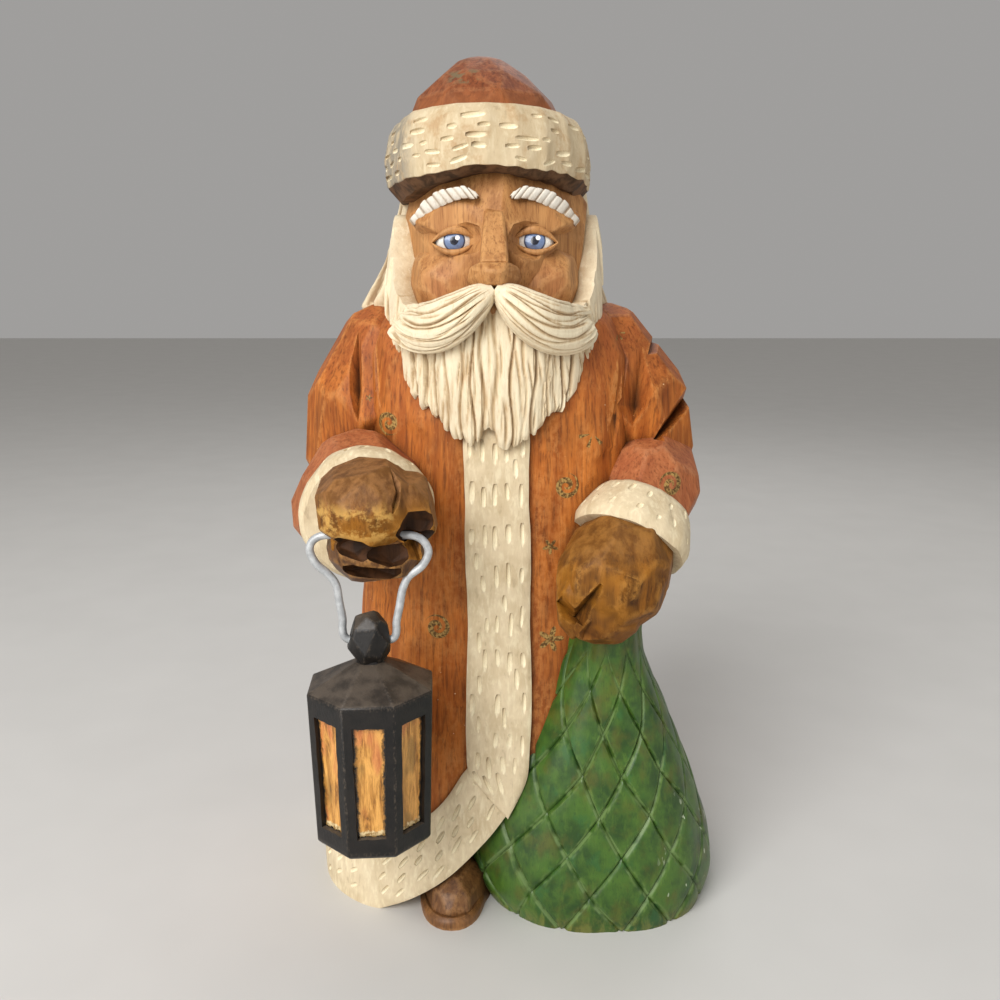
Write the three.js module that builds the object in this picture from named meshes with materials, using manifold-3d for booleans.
// A carved and painted wooden Father Christmas that holds a lantern on a wire and a sack.
// Millimetres, +Z up. The figure faces -Y. The origin is on the sawn-flat underside, below the neck.
import * as THREE from "three";
import { ConvexGeometry } from "three/addons/geometries/ConvexGeometry.js";
import { ConvexHull } from "three/addons/math/ConvexHull.js";
import { mergeVertices } from "three/addons/utils/BufferGeometryUtils.js";
import Module from "manifold-3d";

const wasm = await Module();
wasm.setup();

// Driving dimensions
const FIGURE_HEIGHT = 250; // table to the top of the hat
const WIRE_DIAMETER = 2.3;
const WIRE_GAP = 0.35; // all round the wire, in the fist and in the lantern's knob
const WIRE_BEND = 2.4; // how soon the wire bends down once it is out of the fist
const BAIL_DROP = 27.8; // wire hole of the fist down to the wire holes of the knob
const LANTERN_FLATS = 32; // across two opposite walls, at the eaves
const LANTERN_FOOT_FLATS = 29.8;
const LANTERN_WALL_HEIGHT = 41.5;
const LANTERN_SIDES = 8;
const LANTERN_TURN = 4 * Math.PI / 180; // the walls' front, round from square with the wire holes
const EAVES_BELOW_HOLES = 12;
const ROOF_RISE = 6.4;
const NECK_WIDTH = 7.6;
const KNOB_WIDTH = 10;
const KNOB_HEIGHT = 14.8;
const KNOB_HOLE_DEPTH = 3.2;
const WINDOW_POST = 2.3; // wood left beside a window, on its own wall
const WINDOW_HEAD = 5.6;
const WINDOW_SILL = 4.8;
const WINDOW_DEPTH = 1.3;
const FUR_RELIEF = 1.6; // how far the fur trims stand out from the coat
const SACK_GROOVE_WIDTH = 1.7;
const SACK_GROOVE_DEPTH = 1;
const FINEST_CARVING = 0.06; // slivers thinner than this are left out

// The carving is drawn at this height, and a figure of another height keeps its proportions.
const DRAWN_HEIGHT = 250;
const SHARE = FIGURE_HEIGHT / DRAWN_HEIGHT;
const at = (x, y, z) => new THREE.Vector3(x, y, z).multiplyScalar(SHARE);

const DEG = Math.PI / 180;
const WIRE_RADIUS = WIRE_DIAMETER / 2;
const HOLE_RADIUS = WIRE_RADIUS + WIRE_GAP;

// An unchanging pseudo-random number from -1 to 1 for each whole number n.
function chance(n) {
  const s = Math.sin(n * 127.1 + 11.7) * 43758.5453;
  return 2 * (s - Math.floor(s)) - 1;
}

// A smooth curve through rows of numbers that start with the place along it, read at t.
function along(rows, t) {
  const last = rows.length - 1;
  const end = rows[last][0] > rows[0][0] ? 1 : -1;
  let i = 0;
  while (i < last - 1 && (rows[i + 1][0] - t) * end < 0) i++;
  const [a, b] = [rows[i], rows[i + 1]];
  const s = Math.min(1, Math.max(0, (t - a[0]) / (b[0] - a[0])));
  const before = rows[Math.max(0, i - 1)];
  const after = rows[Math.min(last, i + 2)];
  return a.slice(1).map((value, k) => {
    const v0 = value;
    const v1 = b[k + 1];
    const span = b[0] - a[0];
    const slope0 = ((v1 - before[k + 1]) / (b[0] - before[0])) * span;
    const slope1 = ((after[k + 1] - v0) / (after[0] - a[0])) * span;
    const s2 = s * s;
    const s3 = s2 * s;
    return (
      (2 * s3 - 3 * s2 + 1) * v0 +
      (s3 - 2 * s2 + s) * slope0 +
      (3 * s2 - 2 * s3) * v1 +
      (s3 - s2) * slope1
    );
  });
}

// Solids

function solidFrom(geometry) {
  const bare = new THREE.BufferGeometry();
  bare.setAttribute("position", geometry.getAttribute("position"));
  if (geometry.index) bare.setIndex(geometry.index);
  const merged = mergeVertices(bare, 1e-4);
  return new wasm.Manifold(
    new wasm.Mesh({
      numProp: 3,
      vertProperties: new Float32Array(merged.attributes.position.array),
      triVerts: new Uint32Array(merged.index.array),
    }),
  );
}

function geometryFrom(solid) {
  const mesh = solid.getMesh();
  const positions = new Float32Array(mesh.numVert * 3);
  for (let i = 0; i < mesh.numVert; i++) {
    const start = i * mesh.numProp;
    positions.set(mesh.vertProperties.subarray(start, start + 3), i * 3);
  }
  const geometry = new THREE.BufferGeometry();
  geometry.setAttribute("position", new THREE.BufferAttribute(positions, 3));
  geometry.setIndex(new THREE.BufferAttribute(new Uint32Array(mesh.triVerts), 1));
  geometry.computeVertexNormals();
  return geometry;
}

const joined = (solids) => solids.reduce((whole, next) => whole.add(next));

function closedSkin(points, faces) {
  let volume = 0;
  for (const [a, b, c] of faces)
    volume += points[a].dot(new THREE.Vector3().crossVectors(points[b], points[c]));
  const geometry = new THREE.BufferGeometry().setFromPoints(points);
  geometry.setIndex(faces.flatMap(([a, b, c]) => (volume > 0 ? [a, b, c] : [a, c, b])));
  return solidFrom(geometry);
}

// A closed skin over rings of equally many points, with a flat fan at each end.
function skin(rings) {
  const count = rings[0].length;
  const points = rings.flat();
  const faces = [];
  for (let i = 0; i + 1 < rings.length; i++)
    for (let j = 0; j < count; j++) {
      const a = i * count + j;
      const b = i * count + ((j + 1) % count);
      const c = a + count;
      const d = b + count;
      const straight = points[a].distanceTo(points[d]) < points[b].distanceTo(points[c]);
      if (straight) faces.push([a, b, d], [a, d, c]);
      else faces.push([a, b, c], [b, d, c]);
    }
  [0, rings.length - 1].forEach((i) => {
    const middle = points.length;
    const centre = new THREE.Vector3();
    rings[i].forEach((p) => centre.addScaledVector(p, 1 / count));
    points.push(centre);
    for (let j = 0; j < count; j++) {
      const edge = [i * count + j, i * count + ((j + 1) % count)];
      faces.push(i === 0 ? [edge[1], edge[0], middle] : [edge[0], edge[1], middle]);
    }
  });
  return closedSkin(points, faces);
}

const hullOf = (points) => solidFrom(new ConvexGeometry(points));

// A convex form left by flat knife cuts. reach(n) is how far the smooth form goes from its centre
// in the direction n. The cuts go a little below it, because their corners stand out above it.
// The seed moves the cuts about.
const GOLDEN_TURN = Math.PI * (3 - Math.sqrt(5));
function whittled(centre, reach, cuts, seed = 0) {
  const duals = [];
  const below = 1 - 1.3 / cuts;
  for (let i = 0; i < cuts; i++) {
    const up = 1 - (2 * i + 1) / cuts;
    const turn = i * GOLDEN_TURN + seed + 0.4 * chance(i + 31 * seed);
    const flat = Math.sqrt(1 - up * up);
    const n = new THREE.Vector3(Math.cos(turn) * flat, Math.sin(turn) * flat, up);
    n.z += 0.12 * chance(i + 57 + 17 * seed);
    n.normalize();
    duals.push(n.clone().divideScalar(below * reach(n)));
  }
  const corners = new ConvexHull()
    .setFromPoints(duals)
    .faces.map((face) => face.normal.clone().divideScalar(face.constant).add(centre));
  return hullOf(corners);
}

// How far a rounded block with half sizes a, b, c goes in the direction n. Roundness 2 is an
// ellipsoid, and 1 is a box.
const block = (a, b, c, roundness) => (n) =>
  Math.pow(
    Math.pow(Math.abs(a * n.x), roundness) +
      Math.pow(Math.abs(b * n.y), roundness) +
      Math.pow(Math.abs(c * n.z), roundness),
    1 / roundness,
  ) * SHARE;

// A whittled limb from one round end to another.
function limb(from, fromRadius, to, toRadius, cuts, seed) {
  const centre = from.clone().add(to).multiplyScalar(0.5);
  const half = to.clone().sub(centre);
  const reach = (n) =>
    Math.max(n.dot(half) + toRadius * SHARE, fromRadius * SHARE - n.dot(half));
  return whittled(centre, reach, cuts, seed);
}

// A wedge that a knife takes out: a V cut from one end to the other, opening towards out.
function notch(from, to, out, width, depth) {
  const run = to.clone().sub(from).normalize();
  const side = new THREE.Vector3().crossVectors(run, out).normalize();
  const w = width * SHARE * 0.5;
  const d = depth * SHARE;
  const corners = [from, to].flatMap((p) => [
    p.clone().addScaledVector(out, -d),
    p.clone().addScaledVector(out, d).addScaledVector(side, 2 * w),
    p.clone().addScaledVector(out, d).addScaledVector(side, -2 * w),
  ]);
  return hullOf(corners);
}

// A rod from one point to another, with as many sides as asked.
function rod(from, to, radius, sides) {
  const geometry = new THREE.CylinderGeometry(radius, radius, from.distanceTo(to), sides);
  const run = to.clone().sub(from).normalize();
  geometry.applyQuaternion(
    new THREE.Quaternion().setFromUnitVectors(new THREE.Vector3(0, 1, 0), run),
  );
  const middle = from.clone().add(to).multiplyScalar(0.5);
  geometry.translate(middle.x, middle.y, middle.z);
  return solidFrom(geometry);
}

// The point of a lopsided oval, at an angle that runs from +X towards +Y.
function ovalPoint([left, right, front, back], angle, roundness, z, grow = 0) {
  const c = Math.cos(angle);
  const s = Math.sin(angle);
  const a = (c < 0 ? left : right) + grow;
  const b = (s < 0 ? front : back) + grow;
  const r = Math.pow(
    Math.pow(Math.abs(c) / a, roundness) + Math.pow(Math.abs(s) / b, roundness),
    -1 / roundness,
  );
  return at(r * c, r * s, z);
}

// Coat. Rows: height, then how far the oval goes left, right, forward and back.
const COAT_ROUNDNESS = 2.7;
const COAT = [
  [-4, 56, 53, 41, 36],
  [0, 56.5, 53.5, 41.4, 36.5],
  [12, 56.2, 53.2, 41, 37],
  [32, 53, 50.5, 39, 36.5],
  [56, 49.2, 47.5, 37, 35.5],
  [82, 45.6, 44.4, 35, 34.5],
  [108, 43.4, 42.4, 33, 33.5],
  [132, 42, 41, 31.5, 32.5],
  [150, 41, 40, 30, 31.5],
  [166, 39, 38, 27.4, 29.5],
  [177, 35, 34, 23.5, 25.5],
  [185, 26, 25, 16.5, 18],
];
const coatPoint = (angle, z, grow = 0) =>
  ovalPoint(along(COAT, z), angle, COAT_ROUNDNESS, z, grow);

// The edge of the coat's hem, by the place across the front: it lifts over the shoe.
const HEM_WIDTH = 20;
const HEM_EDGE = [
  [-60, -4],
  [-42, -3],
  [-33, 1.5],
  [-24, 6.5],
  [-14, 14],
  [-4, 25],
  [9, 41],
  [30, 41],
];
const hemEdge = (x) => along(HEM_EDGE, x)[0];

// The angle at which the coat's front has a given x, at a given height.
function frontAngle(x, z) {
  let [low, high] = [180 * DEG, 360 * DEG];
  for (let i = 0; i < 40; i++) {
    const middle = (low + high) / 2;
    if (coatPoint(middle, z).x < x * SHARE) low = middle;
    else high = middle;
  }
  return (low + high) / 2;
}

const COAT_SIDES = 22;
function coat() {
  const rings = COAT.map(([z], row) =>
    Array.from({ length: COAT_SIDES }, (_, j) => {
      const angle = ((j + 0.25 * chance(j + 90 * row)) * 2 * Math.PI) / COAT_SIDES;
      return coatPoint(angle, z);
    }),
  );
  return skin(rings);
}

// What is cut away below the lifted hem, back to a dark inner wall.
const INNER_WALL = -27;
function underHem() {
  const front = -70;
  const steps = [-36, -30, -24, -14, -4, 9, 40];
  const cuts = [];
  for (let i = 0; i + 1 < steps.length; i++) {
    const corners = [steps[i], steps[i + 1]].flatMap((x) =>
      [front, INNER_WALL].flatMap((y) => [at(x, y, -9), at(x, y, hemEdge(x))]),
    );
    cuts.push(hullOf(corners));
  }
  return joined(cuts);
}

// Fur trims of the coat
function hemTrim() {
  const rings = [];
  // Across the front from the sack to the left side, then round the back.
  const places = [];
  for (let x = 11; x > -40; x -= 5.1) {
    const low = Math.max(-4, hemEdge(x));
    const steep = Math.min(1.45, Math.hypot(1, (hemEdge(x + 1) - hemEdge(x - 1)) / 2));
    const high = Math.max(HEM_WIDTH, low + HEM_WIDTH * steep);
    places.push([frontAngle(x, (low + high) / 2), low, high]);
  }
  const start = places[places.length - 1][0];
  const end = 4 * DEG;
  const turns = 15;
  for (let i = 1; i <= turns; i++)
    places.push([start + ((end - start) * i) / turns, -4, HEM_WIDTH + 0.8 * chance(i)]);
  for (const [angle, low, high] of places) {
    const middle = (low + high) / 2;
    rings.push([
      coatPoint(angle, low, -9),
      coatPoint(angle, low, FUR_RELIEF * 0.7),
      coatPoint(angle, low + 0.15 * (high - low), FUR_RELIEF),
      coatPoint(angle, middle, FUR_RELIEF * 1.15),
      coatPoint(angle, high - 0.12 * (high - low), FUR_RELIEF),
      coatPoint(angle, high, FUR_RELIEF * 0.3),
      coatPoint(angle, high, -9),
    ]);
  }
  return skin(rings);
}

// Rows: height, left edge, right edge, how far it stands out.
const FRONT_TRIM = [
  [150, -9.6, 7.8, 1],
  [138, -9.8, 7.8, 1],
  [98, -9.4, 8.7, 1],
  [68, -9.8, 9.6, 1],
  [54, -9.9, 12, 1.3],
  [46, -8.6, 12, 1.5],
  [39, -5.2, 12, 1.6],
  [34, -1.2, 11, 1.6],
  [31, 2.2, 9, 1.6],
];
function frontTrim() {
  const rings = FRONT_TRIM.map(([z, left, right, out]) => {
    const relief = FUR_RELIEF * out;
    const place = (share, grow) =>
      coatPoint(frontAngle(left + share * (right - left), z), z, grow);
    return [
      place(0, -9),
      place(0, relief * 0.6),
      place(0.12, relief),
      place(0.5, relief * 1.2),
      place(0.88, relief),
      place(1, relief * 0.6),
      place(1, -9),
    ];
  });
  return skin(rings);
}

// Arms
const RIGHT_WRIST = [-35.8, -36, 126.5];
const LEFT_ELBOW = [46.6, -3, 132.5];
const LEFT_WRIST = [37.2, -25, 116.5];
function sleeves() {
  const right = [
    limb(at(-35, 3, 166), 15.4, at(-45.5, 2, 136), 15, 26, 2),
    limb(at(-43.6, -2, 130), 15, at(...RIGHT_WRIST), 17.6, 34, 6),
  ];
  const left = [
    limb(at(32, 3, 168), 13.6, at(45, 0, 139), 14.6, 26, 8),
    limb(at(...LEFT_ELBOW), 12.8, at(...LEFT_WRIST), 15.2, 26, 11),
  ];
  return joined([...right, ...left]);
}

// Folds that the knife cut into the sleeves: from, to, outward, width, depth.
const FOLDS = [
  [[-66, -6, 143], [-50, -20, 141.5], [-0.5, -0.3, 0.9], 2.6, 4],
  [[64, -14, 153], [47, -20, 142], [0.5, -0.55, 0.6], 3, 4],
  [[60, -4, 170], [47, -16, 163], [0.6, -0.5, 0.6], 2.6, 2.6],
  [[-44, -22, 172], [-40.5, -29, 146], [-0.3, -0.95, 0], 3, 3.4],
  [[33, -25, 170], [36.5, -30, 146], [0.25, -0.97, 0], 3, 3.4],
];
const folds = () =>
  joined(
    FOLDS.map(([from, to, out, width, depth]) =>
      notch(at(...from), at(...to), new THREE.Vector3(...out).normalize(), width, depth),
    ),
  );

// A fur cuff round a wrist: a short many-sided drum whose rims are rounded.
function cuff(middle, axis, radius, length, sides, seed) {
  const turn = new THREE.Quaternion().setFromUnitVectors(new THREE.Vector3(0, 0, 1), axis);
  const profile = [
    [-0.5, 0.88],
    [-0.4, 0.98],
    [0.3, 1.01],
    [0.5, 0.92],
  ];
  const rings = profile.map(([share, wide]) =>
    Array.from({ length: sides }, (_, j) => {
      const angle = (j * 2 * Math.PI) / sides;
      const r = radius * wide * (1 + 0.018 * chance(j + seed));
      return at(r * Math.cos(angle), r * Math.sin(angle), share * length)
        .applyQuaternion(turn)
        .add(middle);
    }),
  );
  return skin(rings);
}
const RIGHT_CUFF = [-35.5, -42, 126];
const RIGHT_CUFF_AXIS = new THREE.Vector3(0.12, -0.985, -0.08).normalize();
const LEFT_CUFF = [36.8, -29.5, 113.5];
const LEFT_CUFF_AXIS = new THREE.Vector3(-0.36, -0.72, -0.6).normalize();
const cuffs = () =>
  cuff(at(...RIGHT_CUFF), RIGHT_CUFF_AXIS, 19.3, 11, 16, 3).add(
    cuff(at(...LEFT_CUFF), LEFT_CUFF_AXIS, 18, 11.5, 16, 9),
  );

// The right hand is a fist round the wire, and the left one a mitten on the sack.
const FIST = [-31.2, -59, 127.4];
const WIRE_HOLE = [-33.8, -62.5, 125];
// Where the wire comes out, the wood round its hole is broken away.
const WIRE_PITS = [-12.6, 11.2];
function fist() {
  const [x, y, z] = FIST;
  const solid = joined([
    limb(at(x - 1, y + 16, z), 13.5, at(x - 0.5, y + 4, z), 13.5, 18, 3),
    whittled(at(x - 1.4, y + 1, z + 4.2), block(13.6, 15, 11.6, 1.8), 34, 4),
    whittled(at(x - 0.8, y + 6, z - 6), block(12.4, 11, 9.2, 1.75), 24, 6),
    whittled(at(x + 9.6, y + 7, z + 0.6), block(5.6, 9.4, 10.4, 1.8), 18, 7),
  ]);
  const curls = joined([
    whittled(at(x - 1, y - 13.5, z - 8.2), block(11, 3.4, 2.6, 1.9), 22, 1),
    whittled(at(x + 1, y - 10.5, z - 12.6), block(9.5, 3.2, 1.5, 1.9), 22, 2),
    notch(at(x + 7, y - 19, z + 13), at(x + 8, y - 12, z - 7), new THREE.Vector3(0.5, -0.87, 0), 1.8, 2.2),
  ]);
  const [holeX, holeY, holeZ] = WIRE_HOLE;
  const pits = joined(
    WIRE_PITS.map((x) =>
      limb(at(holeX + x, holeY - 1, holeZ), 3.4, at(holeX + x * 1.05, holeY - 2, holeZ - 9), 3.6, 18, x),
    ),
  );
  return solid.subtract(curls).subtract(pits);
}

function mitten() {
  const solid = joined([
    limb(at(36, -32, 112), 13, at(31.6, -40.5, 104), 14.4, 24, 4),
    whittled(at(31.2, -43, 101.5), block(14.8, 11, 16, 1.85), 30, 9),
    whittled(at(21.5, -46, 96), block(5.2, 5.4, 9.2, 1.9), 16, 5),
  ]);
  const thumbCrease = joined([
    notch(at(23.4, -54, 93), at(29, -57, 104), new THREE.Vector3(0.1, -0.95, -0.3).normalize(), 2.4, 2.4),
    notch(at(15, -50, 97), at(24, -57, 91.5), new THREE.Vector3(-0.4, -0.9, -0.2).normalize(), 2, 1.6),
  ]);
  return solid.subtract(thumbCrease);
}

// Sack. Rows: height, middle x, middle y, then how far it goes left, right, forward and back.
const SACK_ROUNDNESS = 2.3;
const SACK = [
  [-3, 31, -15, 34, 33, 33, 27],
  [1.5, 31, -15, 37, 34.5, 34, 30],
  [10, 31, -15, 41, 36.4, 34.6, 32],
  [20, 31.5, -15.5, 41.5, 34.6, 33.6, 31],
  [34, 32, -17, 37.5, 29.4, 30.5, 28],
  [48, 32.5, -19, 30.5, 23.8, 27, 23],
  [62, 32.5, -21.5, 22, 18, 22, 18],
  [78, 32, -26, 14.5, 11.6, 15.5, 13.5],
  [90, 32, -32, 10, 9, 11, 11],
  [102, 33, -36, 8, 8, 8, 9],
];
function sackPoint(angle, z, grow = 0) {
  const [x, y, ...reach] = along(SACK, z);
  return ovalPoint(reach, angle, SACK_ROUNDNESS, z, grow).add(at(x, y, 0));
}
// The sack is cut all over with V grooves that cross in a lattice, and what they leave are
// diamonds. Each diamond is flat-topped, with its four slopes down into the grooves.
const SACK_DIAMONDS_ROUND = 14;
const SACK_LATTICE_ROWS = 9;
const SACK_LATTICE_FROM = -1;
const SACK_LATTICE_TO = 98;
const sackRowHeight = (row) =>
  SACK_LATTICE_FROM + ((SACK_LATTICE_TO - SACK_LATTICE_FROM) * row) / SACK_LATTICE_ROWS;
function sack() {
  const points = [];
  const faces = [];
  const column = (row, i) => {
    const wander = 0.09 * chance(row * 31 + (i % SACK_DIAMONDS_ROUND));
    return ((i + (row % 2 ? 0.5 : 0) + wander) * 2 * Math.PI) / SACK_DIAMONDS_ROUND;
  };
  const crossings = [];
  for (let row = 0; row <= SACK_LATTICE_ROWS; row++) {
    crossings.push(points.length);
    for (let i = 0; i < SACK_DIAMONDS_ROUND; i++)
      points.push(sackPoint(column(row, i), sackRowHeight(row), -SACK_GROOVE_DEPTH / SHARE));
  }
  const crossing = (row, i) =>
    crossings[row] + ((i + SACK_DIAMONDS_ROUND) % SACK_DIAMONDS_ROUND);
  // A flat-topped tile over the corners that are given in turn, seen from outside.
  const tile = (corners, angle, z) => {
    const centre = sackPoint(angle, z);
    const out = sackPoint(angle, z, 1).sub(centre).normalize();
    const rims = corners.map((corner) => {
      const place = points[corner].clone();
      const inward = centre.clone().sub(place);
      inward.addScaledVector(out, -inward.dot(out));
      const away = Math.min(0.3 * inward.length(), 0.95 * SACK_GROOVE_WIDTH);
      place.addScaledVector(inward.normalize(), away);
      points.push(place.addScaledVector(out, SACK_GROOVE_DEPTH * 0.95));
      return points.length - 1;
    });
    corners.forEach((corner, k) => {
      const next = (k + 1) % corners.length;
      faces.push([corner, corners[next], rims[next]], [corner, rims[next], rims[k]]);
    });
    for (let k = 1; k + 1 < rims.length; k++) faces.push([rims[0], rims[k], rims[k + 1]]);
  };
  const turn = (2 * Math.PI) / SACK_DIAMONDS_ROUND;
  for (let row = 1; row < SACK_LATTICE_ROWS; row++)
    for (let i = 0; i < SACK_DIAMONDS_ROUND; i++) {
      const between = row % 2 ? i + 1 : i;
      const corners = [
        crossing(row - 1, between),
        crossing(row, i + 1),
        crossing(row + 1, between),
        crossing(row, i),
      ];
      tile(corners, (i + (row % 2 ? 1 : 0.5)) * turn, sackRowHeight(row));
    }
  // Half diamonds along the foot and the top
  for (const row of [0, SACK_LATTICE_ROWS]) {
    const inner = row ? row - 1 : 1;
    for (let i = 0; i < SACK_DIAMONDS_ROUND; i++) {
      const between = crossing(inner, row % 2 ? i + 1 : i);
      const [left, right] = [crossing(row, i), crossing(row, i + 1)];
      const corners = row ? [between, right, left] : [left, right, between];
      const z = sackRowHeight(row) + (inner - row) * 3;
      tile(corners, (i + (row % 2 ? 1 : 0.5)) * turn, z);
    }
    const middle = points.length;
    const [x, y] = along(SACK, sackRowHeight(row));
    points.push(at(x, y, sackRowHeight(row) - (row ? 0 : 5)));
    for (let i = 0; i < SACK_DIAMONDS_ROUND; i++) {
      const edge = [crossing(row, i), crossing(row, i + 1)];
      faces.push(row ? [edge[0], edge[1], middle] : [edge[1], edge[0], middle]);
    }
  }
  return closedSkin(points, faces);
}

// Shoe under the lifted hem
function shoe() {
  const sole = [-3, 2.2, 3.4].map((z, row) =>
    Array.from({ length: 18 }, (_, j) => {
      const angle = (j * 2 * Math.PI) / 18;
      const grow = row === 2 ? -1 : 0;
      return ovalPoint([10.6, 10.4, 22, 18], angle, 2.3, z, grow).add(at(-14.5, -26, 0));
    }),
  );
  const upper = whittled(at(-14.4, -27, 3), block(9.4, 19.2, 11.5, 1.95), 30, 3);
  return skin(sole).add(upper);
}

// Head
const FACE_X = -1.5; // the middle of the face
const EYE_OUT = 11; // each eye from the middle: the head is five eyes wide
const EYE_Z = 198.5;
const EYE_Y = -23.2;
const NOSE_FOOT_Z = 186.5;
const BROW_Z = 207.5;
const sides = [-1, 1];

function nose() {
  const p = (x, y, z) => at(FACE_X + x, y, z);
  const ridge = sides.flatMap((s) => [
    p(s * 2.8, -27, BROW_Z + 0.5),
    p(s * 2.4, -31.4, BROW_Z - 1.5),
    p(s * 2.6, -33.6, EYE_Z),
    p(s * 3.6, -40.2, NOSE_FOOT_Z + 6),
    p(s * 4.6, -26, NOSE_FOOT_Z + 4),
  ]);
  const tip = sides.flatMap((s) => [
    p(s * 3.8, -40, NOSE_FOOT_Z + 6.4),
    p(s * 2.2, -42.4, NOSE_FOOT_Z + 4),
    p(s * 2.2, -40.6, NOSE_FOOT_Z + 0.6),
    p(s * 6.6, -35.4, NOSE_FOOT_Z + 5),
    p(s * 7.4, -33.4, NOSE_FOOT_Z + 1.4),
    p(s * 6.2, -27, NOSE_FOOT_Z + 5),
    p(s * 6.4, -27, NOSE_FOOT_Z - 1),
    p(s * 4.6, -36.4, NOSE_FOOT_Z - 0.6),
  ]);
  const nostrils = sides.map((s) =>
    hullOf([
      p(s * 1.3, -39.4, NOSE_FOOT_Z - 3),
      p(s * 5.4, -36.6, NOSE_FOOT_Z - 3),
      p(s * 2, -33, NOSE_FOOT_Z - 3),
      p(s * 6.2, -33, NOSE_FOOT_Z - 3),
      p(s * 3.3, -36.4, NOSE_FOOT_Z + 2.6),
      p(s * 1.5, -38, NOSE_FOOT_Z + 0.6),
    ]),
  );
  return hullOf(ridge).add(hullOf(tip)).subtract(joined(nostrils));
}

// Eyelids: a thin crescent over and under each eyeball.
function lid(rise, thick, forward) {
  const steps = 6;
  const rings = [];
  for (let i = 0; i <= steps; i++) {
    const share = -1 + (2 * i) / steps;
    const x = FACE_X + EYE_OUT + 6.4 * share;
    const bow = 1 - share * share;
    const z = EYE_Z + rise * bow - 0.3 * share;
    const y = EYE_Y - 2.2 - forward * bow;
    rings.push([
      at(x, y + 3.5, z - thick * (0.4 + 0.6 * bow)),
      at(x, y, z - thick * (0.3 + 0.5 * bow)),
      at(x, y - 0.4, z),
      at(x, y, z + thick * (0.3 + 0.5 * bow)),
      at(x, y + 3.5, z + thick * (0.4 + 0.6 * bow)),
    ]);
  }
  return skin(rings);
}

// The same carving on the other side of the face
const bothSides = (solid) => solid.add(solid.mirror([1, 0, 0]).translate([2 * FACE_X * SHARE, 0, 0]));

function face() {
  const skull = whittled(at(FACE_X, -1.5, 196), block(28.2, 28, 37, 1.9), 56, 1);
  const p = (x, y, z) => at(FACE_X + x, y, z);
  const socket = whittled(p(EYE_OUT + 0.4, -30.3, EYE_Z + 0.6), block(8.4, 6.2, 5.6, 2), 20, 3);
  const cheek = whittled(p(13.4, -14.6, 187), block(13.6, 15.4, 11.5, 1.9), 26, 5);
  const browBone = limb(p(5, -24.2, BROW_Z - 0.8), 4, p(20, -16.8, BROW_Z - 2.6), 3.8, 22, 4);
  const eyeball = whittled(p(EYE_OUT, EYE_Y, EYE_Z), block(5.8, 3.6, 4.4, 2), 24, 4);
  const side = joined([cheek, browBone, eyeball, lid(3.5, 0.95, 1.6), lid(-3, 0.8, 1.3), eyebrow()]);
  return skull.subtract(bothSides(socket)).add(bothSides(side)).add(nose());
}

// White eyebrows, cut across into tufts.
function eyebrow() {
  const tufts = 7;
  const rings = [];
  for (let i = 0; i <= 2 * tufts; i++) {
    const share = i / (2 * tufts);
    const x = 5 + 18.4 * share;
    const z = BROW_Z + 2.6 + 2.6 * Math.sin(share * 0.62 * Math.PI + 0.5) - 7.2 * share * share;
    const y = -29.8 + 9 * share * share + 2 * share;
    const tall = (2.1 - 0.9 * share * share) * (i % 2 ? 1.06 : 0.8);
    const out = i % 2 ? 1.25 : 0.35;
    const p = (dy, dz) => at(FACE_X + x, y + dy, z + dz);
    rings.push([p(5, -tall), p(-out * 0.6, -tall), p(-out, 0), p(-out * 0.6, tall), p(5, tall)]);
  }
  return skin(rings);
}

// Beard. It runs from one temple round under the face to the other, and its places are told in
// degrees round from the nose. Its foot falls to two points with a notch between them.
const BEARD_END = 98;
const BEARD_TIP_Z = 143;
const BEARD_NOTCH = -3;
function beardTop(degrees) {
  const rise = Math.min(1, Math.max(0, (Math.abs(degrees) - 48) / 50));
  return 181 + 26 * rise * rise * (3 - 2 * rise);
}
function beardFoot(degrees) {
  const notch = 5.6 * Math.exp(-Math.pow((degrees - BEARD_NOTCH) / 4.5, 2));
  const shorterSide = degrees > 20 ? 1.6 : 0;
  return BEARD_TIP_Z + 0.0055 * degrees * degrees + notch + shorterSide;
}
// Rows: height, half width, middle y, reach forward.
const BEARD_BULK = [
  [210, 28.6, -4, 26],
  [196, 30.2, -4, 28],
  [182, 31.6, -4.5, 31],
  [168, 31.6, -5, 31.4],
  [154, 30.6, -5.5, 30.4],
  [140, 29.4, -6, 28.8],
];
function beardPoint(degrees, z, grow) {
  const [half, y, forward] = along(BEARD_BULK, z);
  const angle = degrees * DEG;
  return at(
    FACE_X + 0.1 + (half + grow) * Math.sin(angle),
    y - (forward + grow) * Math.cos(angle),
    z,
  );
}
const BEARD_LOCKS = 20;
function beard() {
  const rings = [];
  const rows = 4;
  for (let i = 0; i <= 2 * BEARD_LOCKS; i++) {
    const degrees = -BEARD_END + (BEARD_END * i) / BEARD_LOCKS;
    const ridge = i % 2 ? 0.6 : -0.6;
    const top = beardTop(degrees);
    const foot = beardFoot(degrees) + (i % 2 ? -0.8 : 0.8) + 0.9 * chance(i);
    const ring = [];
    for (let j = 0; j <= rows; j++) {
      const z = top + ((foot - top) * j) / rows;
      const wave = 0.4 * Math.sin(j * 1.7 + i * 0.4);
      const out = ridge * Math.min(1, j / 2) - (j === rows ? 0.8 : 0);
      ring.push(beardPoint(degrees + wave, z, out));
    }
    ring.push(beardPoint(degrees, foot + 1.5, -13), beardPoint(degrees, top, -13));
    rings.push(ring);
  }
  return skin(rings);
}

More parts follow.
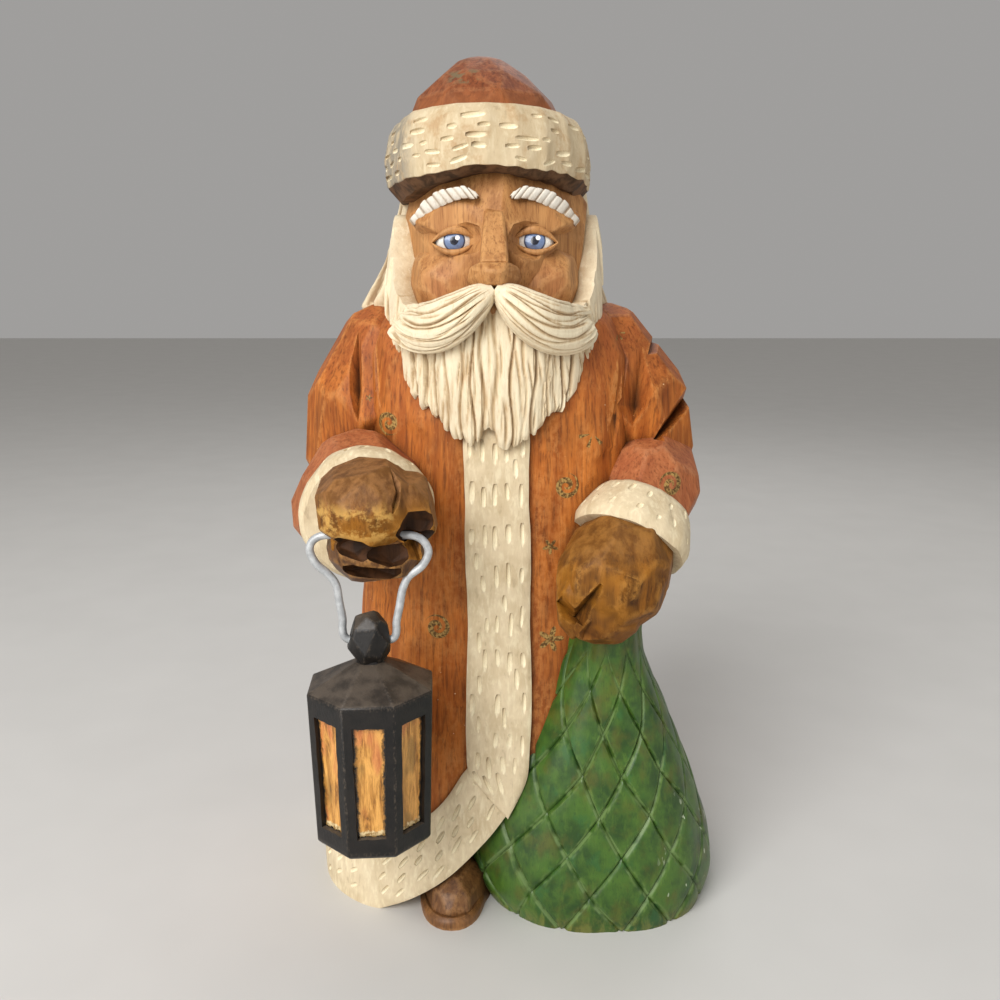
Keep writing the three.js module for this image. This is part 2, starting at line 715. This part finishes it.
// Moustache. Rows: share of the sweep, x from the middle, y, z, half height, half thickness.
const MOUSTACHE = [
  [0, 0.2, -37.6, 185.2, 2.2, 3],
  [0.14, 4.2, -38.6, 182.2, 4.8, 4.4],
  [0.32, 9.6, -38.2, 178.4, 6.8, 5.2],
  [0.52, 16, -35.4, 175.6, 7.4, 5.4],
  [0.72, 22, -31, 175.2, 7, 5],
  [0.88, 26.2, -26.2, 176.6, 5.4, 4.4],
  [1, 29, -22, 178.6, 2.6, 3],
];
const MOUSTACHE_STRANDS = 7;
function moustache(s) {
  const rings = [];
  const steps = 8;
  const count = 2 * MOUSTACHE_STRANDS;
  for (let i = 0; i <= steps; i++) {
    const share = i / steps;
    const [x, y, z, tall, thick] = along(MOUSTACHE, share);
    const [x2, , z2] = along(MOUSTACHE, Math.min(1, share + 0.03));
    const [x1, , z1] = along(MOUSTACHE, Math.max(0, share - 0.03));
    const lean = Math.atan2(z2 - z1, x2 - x1);
    const ring = [];
    for (let j = 0; j < count; j++) {
      const angle = (j * 2 * Math.PI) / count;
      const ridge = j % 2 ? 1.1 : 0.88;
      const up = tall * Math.sin(angle) * ridge;
      const out = thick * Math.cos(angle) * ridge;
      ring.push(at(FACE_X + s * (x - up * Math.sin(lean)), y - out, z + up * Math.cos(lean)));
    }
    rings.push(ring);
  }
  return skin(rings);
}

// Hair down to the collar. Rows: height, then left, right, forward and back.
const HAIR = [
  [220, 27, 26, 12, 26],
  [210, 28.4, 27.6, 12, 27],
  [202, 30.8, 29, 12, 27.6],
  [194, 33.4, 30.4, 12, 28.4],
  [187, 37, 32.2, 12, 29],
  [182, 40, 34, 12, 29],
  [179.5, 40.4, 34.2, 11, 28.4],
  [175, 33, 29, 10, 26],
];
const HAIR_LOCKS = 13;
function hair() {
  const rings = HAIR.map(([z, ...reach], row) =>
    Array.from({ length: 2 * HAIR_LOCKS }, (_, j) => {
      const angle = ((j + 0.3 * row) * Math.PI) / HAIR_LOCKS;
      const ridge = j % 2 ? 0.6 : -0.6;
      return ovalPoint(reach, angle, 2.1, z, ridge).add(at(FACE_X, 5, 0));
    }),
  );
  return skin(rings);
}

// Hat. The dome's flat cuts, and the fur brim as a profile swept round the head.
const HAT_X = -3.7;
// Rows: height, middle x, half width, half depth. The top is one flat cut, left of the middle.
const DOME = [
  [208, -4, 24.5, 25],
  [228, -4.2, 24, 24.5],
  [235, -4.6, 23, 23.5],
  [239.5, -5, 21, 21],
  [244, -5.3, 16.4, 16.5],
  [247.8, -5.5, 10.8, 11],
  [DRAWN_HEIGHT, -5.6, 6, 5.4],
];
function hatDome() {
  const points = DOME.flatMap(([z, x, half, deep], row) =>
    Array.from({ length: 11 }, (_, j) => {
      const angle = ((j + 0.5 * (row % 2) + 0.3 * chance(j + 13 * row)) * 2 * Math.PI) / 11;
      return at(x + half * Math.cos(angle), deep * Math.sin(angle) - 1, z);
    }),
  );
  return hullOf(points);
}
// Rows: degrees round from the front, the fur's lower edge, its upper edge, and how much further
// down the bare chamfer under it goes.
const BRIM = [
  [-180, 212, 230, 2.5],
  [-120, 213.4, 230.8, 3.4],
  [-75, 214.4, 231.6, 4],
  [-40, 215.6, 233, 2.6],
  [0, 217.6, 233.6, 1.3],
  [40, 216.6, 232.8, 2.4],
  [75, 215, 230.6, 3.8],
  [120, 213.4, 230.2, 3.4],
  [180, 212, 230, 2.5],
];
const BRIM_SIDES = 24;
function hatBrim() {
  const rings = [];
  for (let i = 0; i < BRIM_SIDES; i++) {
    const degrees = -180 + (360 * (i + 0.2 * chance(i + 5))) / BRIM_SIDES;
    const [low, high, chamfer] = along(BRIM, degrees);
    const angle = (degrees - 90) * DEG;
    const dent = 0.35 * chance(3 * i + 1);
    const p = (z, out) =>
      ovalPoint([28.4, 28.2, 30.6, 29], angle, 2.15, z, out + dent).add(at(HAT_X, -1, 0));
    const tall = high - low;
    rings.push([
      p(low - chamfer, -9),
      p(low - chamfer, -2.2),
      p(low, 1.5),
      p(low + 0.45 * tall, 1.9),
      p(low + 0.8 * tall, 0.7),
      p(high, -1.8),
      p(high, -9),
    ]);
  }
  return closedSweep(rings);
}

// A ring-shaped skin: the last profile joins the first.
function closedSweep(profiles) {
  const count = profiles[0].length;
  const points = profiles.flat();
  const faces = [];
  profiles.forEach((_, i) => {
    const here = i * count;
    const there = ((i + 1) % profiles.length) * count;
    for (let j = 0; j < count; j++) {
      const next = (j + 1) % count;
      faces.push([here + j, here + next, there + j], [here + next, there + next, there + j]);
    }
  });
  return closedSkin(points, faces);
}

// Everything below the underside is sawn off.
function sawnOff() {
  const corners = [-90, 90].flatMap((x) =>
    [-90, 90].flatMap((y) => [at(x, y, 0), at(x, y, -30)]),
  );
  return hullOf(corners);
}

function carvedFigure() {
  const dressed = joined([coat(), sleeves()]).subtract(underHem()).subtract(folds());
    const whole = joined([
    dressed,
    hemTrim(),
    frontTrim(),
    cuffs(),
    fist(),
    sack(),
    mitten(),
    shoe(),
    face(),
    hair(),
    beard(),
    ...sides.map(moustache),
    hatDome(),
    hatBrim(),
  ]);
  const [x, y, z] = WIRE_HOLE;
  const hole = rod(at(x - 30, y, z), at(x + 30, y, z), HOLE_RADIUS, 12);
  return whole.subtract(hole).subtract(sawnOff()).simplify(FINEST_CARVING);
}

// Lantern. Its origin is the middle of its knob, between the wire holes.
function lanternRing(flats, z, turn = 0.5) {
  const radius = flats / 2 / Math.cos(Math.PI / LANTERN_SIDES);
  return Array.from({ length: LANTERN_SIDES }, (_, i) => {
    const angle = ((i + turn) * 2 * Math.PI) / LANTERN_SIDES + LANTERN_TURN;
    return new THREE.Vector3(radius * Math.cos(angle), radius * Math.sin(angle), z);
  });
}
function lantern() {
  const eaves = -EAVES_BELOW_HOLES;
  const foot = eaves - LANTERN_WALL_HEIGHT;
  const neck = eaves + ROOF_RISE;
  const body = skin([
    lanternRing(LANTERN_FOOT_FLATS * 0.93, foot - 1.2),
    lanternRing(LANTERN_FOOT_FLATS, foot),
    lanternRing(LANTERN_FLATS, eaves),
    lanternRing(NECK_WIDTH, neck),
    lanternRing(NECK_WIDTH * 0.9, neck + 1),
  ]);
  const knobReach = (n) =>
    Math.pow(
      Math.pow(Math.abs((KNOB_WIDTH / 2) * n.x), 1.8) +
        Math.pow(Math.abs((KNOB_WIDTH / 2) * n.y), 1.8) +
        Math.pow(Math.abs((KNOB_HEIGHT / 2) * n.z), 1.8),
      1 / 1.8,
    );
  const knob = whittled(new THREE.Vector3(0, 0, 0), knobReach, 26, 3);
  const windows = [];
  for (let i = 0; i < LANTERN_SIDES; i++) {
    const angle = (i * 2 * Math.PI) / LANTERN_SIDES + LANTERN_TURN;
    const out = new THREE.Vector3(Math.cos(angle), Math.sin(angle), 0);
    const across = new THREE.Vector3(-out.y, out.x, 0);
    const corner = (high, share, depth) => {
      const z = high ? eaves - WINDOW_HEAD : foot + WINDOW_SILL;
      const drop = (eaves - z) / LANTERN_WALL_HEIGHT;
      const flats = LANTERN_FLATS + (LANTERN_FOOT_FLATS - LANTERN_FLATS) * drop;
      const half = (flats / 2) * Math.tan(Math.PI / LANTERN_SIDES) - WINDOW_POST;
      return out
        .clone()
        .multiplyScalar(flats / 2 - depth)
        .addScaledVector(across, share * half)
        .setZ(z);
    };
    const corners = [true, false].flatMap((high) =>
      sides.flatMap((s) => [corner(high, s * 0.92, WINDOW_DEPTH), corner(high, s, -2)]),
    );
    windows.push(hullOf(corners));
  }
  const holes = sides.map((s) =>
    rod(
      new THREE.Vector3(s * (KNOB_WIDTH / 2 - KNOB_HOLE_DEPTH), 0, 0),
      new THREE.Vector3(s * KNOB_WIDTH, 0, 0),
      HOLE_RADIUS,
      12,
    ),
  );
  return body.add(knob).subtract(joined(windows)).subtract(joined(holes));
}

// Wire bail: straight through the fist, bowed out round its sides, and pinched in to the knob.
// Rows for each leg: how far out from the middle, and the share of the drop to the knob's holes.
const RIGHT_LEG = [
  [13.8, 0.05],
  [14.6, 0.13],
  [13.2, 0.26],
  [10, 0.37],
  [8.3, 0.46],
  [7.6, 0.62],
  [6.9, 0.8],
];
const LEFT_LEG = [
  [14.4, 0.05],
  [15.6, 0.15],
  [14, 0.28],
  [10.4, 0.39],
  [8.9, 0.5],
  [7.9, 0.68],
  [7, 0.84],
];
function bail() {
  const hole = at(...WIRE_HOLE);
  const low = BAIL_DROP;
  const inner = KNOB_WIDTH / 2 - KNOB_HOLE_DEPTH + WIRE_GAP;
  const p = (x, down) => new THREE.Vector3(hole.x + x, hole.y, hole.z - down);
  const half = (s, leg) => [
    p(s * 4, 0),
    p(s * (leg[0][0] * SHARE - WIRE_BEND), 0),
    ...leg.map(([x, share]) => p(s * Math.max(x * SHARE, KNOB_WIDTH / 2 + 2), share * low)),
    p(s * (KNOB_WIDTH / 2 + 2), low - 2.9),
    p(s * (KNOB_WIDTH / 2 + 1.6), low - 0.9),
    p(s * (KNOB_WIDTH / 2 + 0.5), low),
    p(s * inner, low),
  ];
  const points = [...half(-1, RIGHT_LEG).reverse(), p(0, 0), ...half(1, LEFT_LEG)];
  const path = new THREE.CatmullRomCurve3(points, false, "centripetal");
  const round = new THREE.Shape().absarc(0, 0, WIRE_RADIUS, 0, 2 * Math.PI);
  const geometry = new THREE.ExtrudeGeometry(round, {
    steps: 42,
    curveSegments: 4,
    bevelEnabled: false,
    extrudePath: path,
  });
  return solidFrom(geometry);
}

// Materials
const wood = new THREE.MeshStandardMaterial({ color: 0xb5541f, roughness: 0.5, metalness: 0 });
const blackPaint = new THREE.MeshStandardMaterial({ color: 0x242321, roughness: 0.45, metalness: 0 });
const galvanised = new THREE.MeshStandardMaterial({ color: 0xb4b6b4, roughness: 0.45, metalness: 0.8 });

function piece(name, solid, material) {
  const mesh = new THREE.Mesh(geometryFrom(solid), material);
  mesh.name = name;
  return mesh;
}

const santa = new THREE.Group();
santa.add(piece("carved_figure", carvedFigure(), wood));
santa.add(piece("wire_bail", bail(), galvanised));
const hanging = new THREE.Group();
hanging.position.copy(at(...WIRE_HOLE)).z -= BAIL_DROP;
hanging.add(piece("lantern", lantern(), blackPaint));
santa.add(hanging);

export default santa;
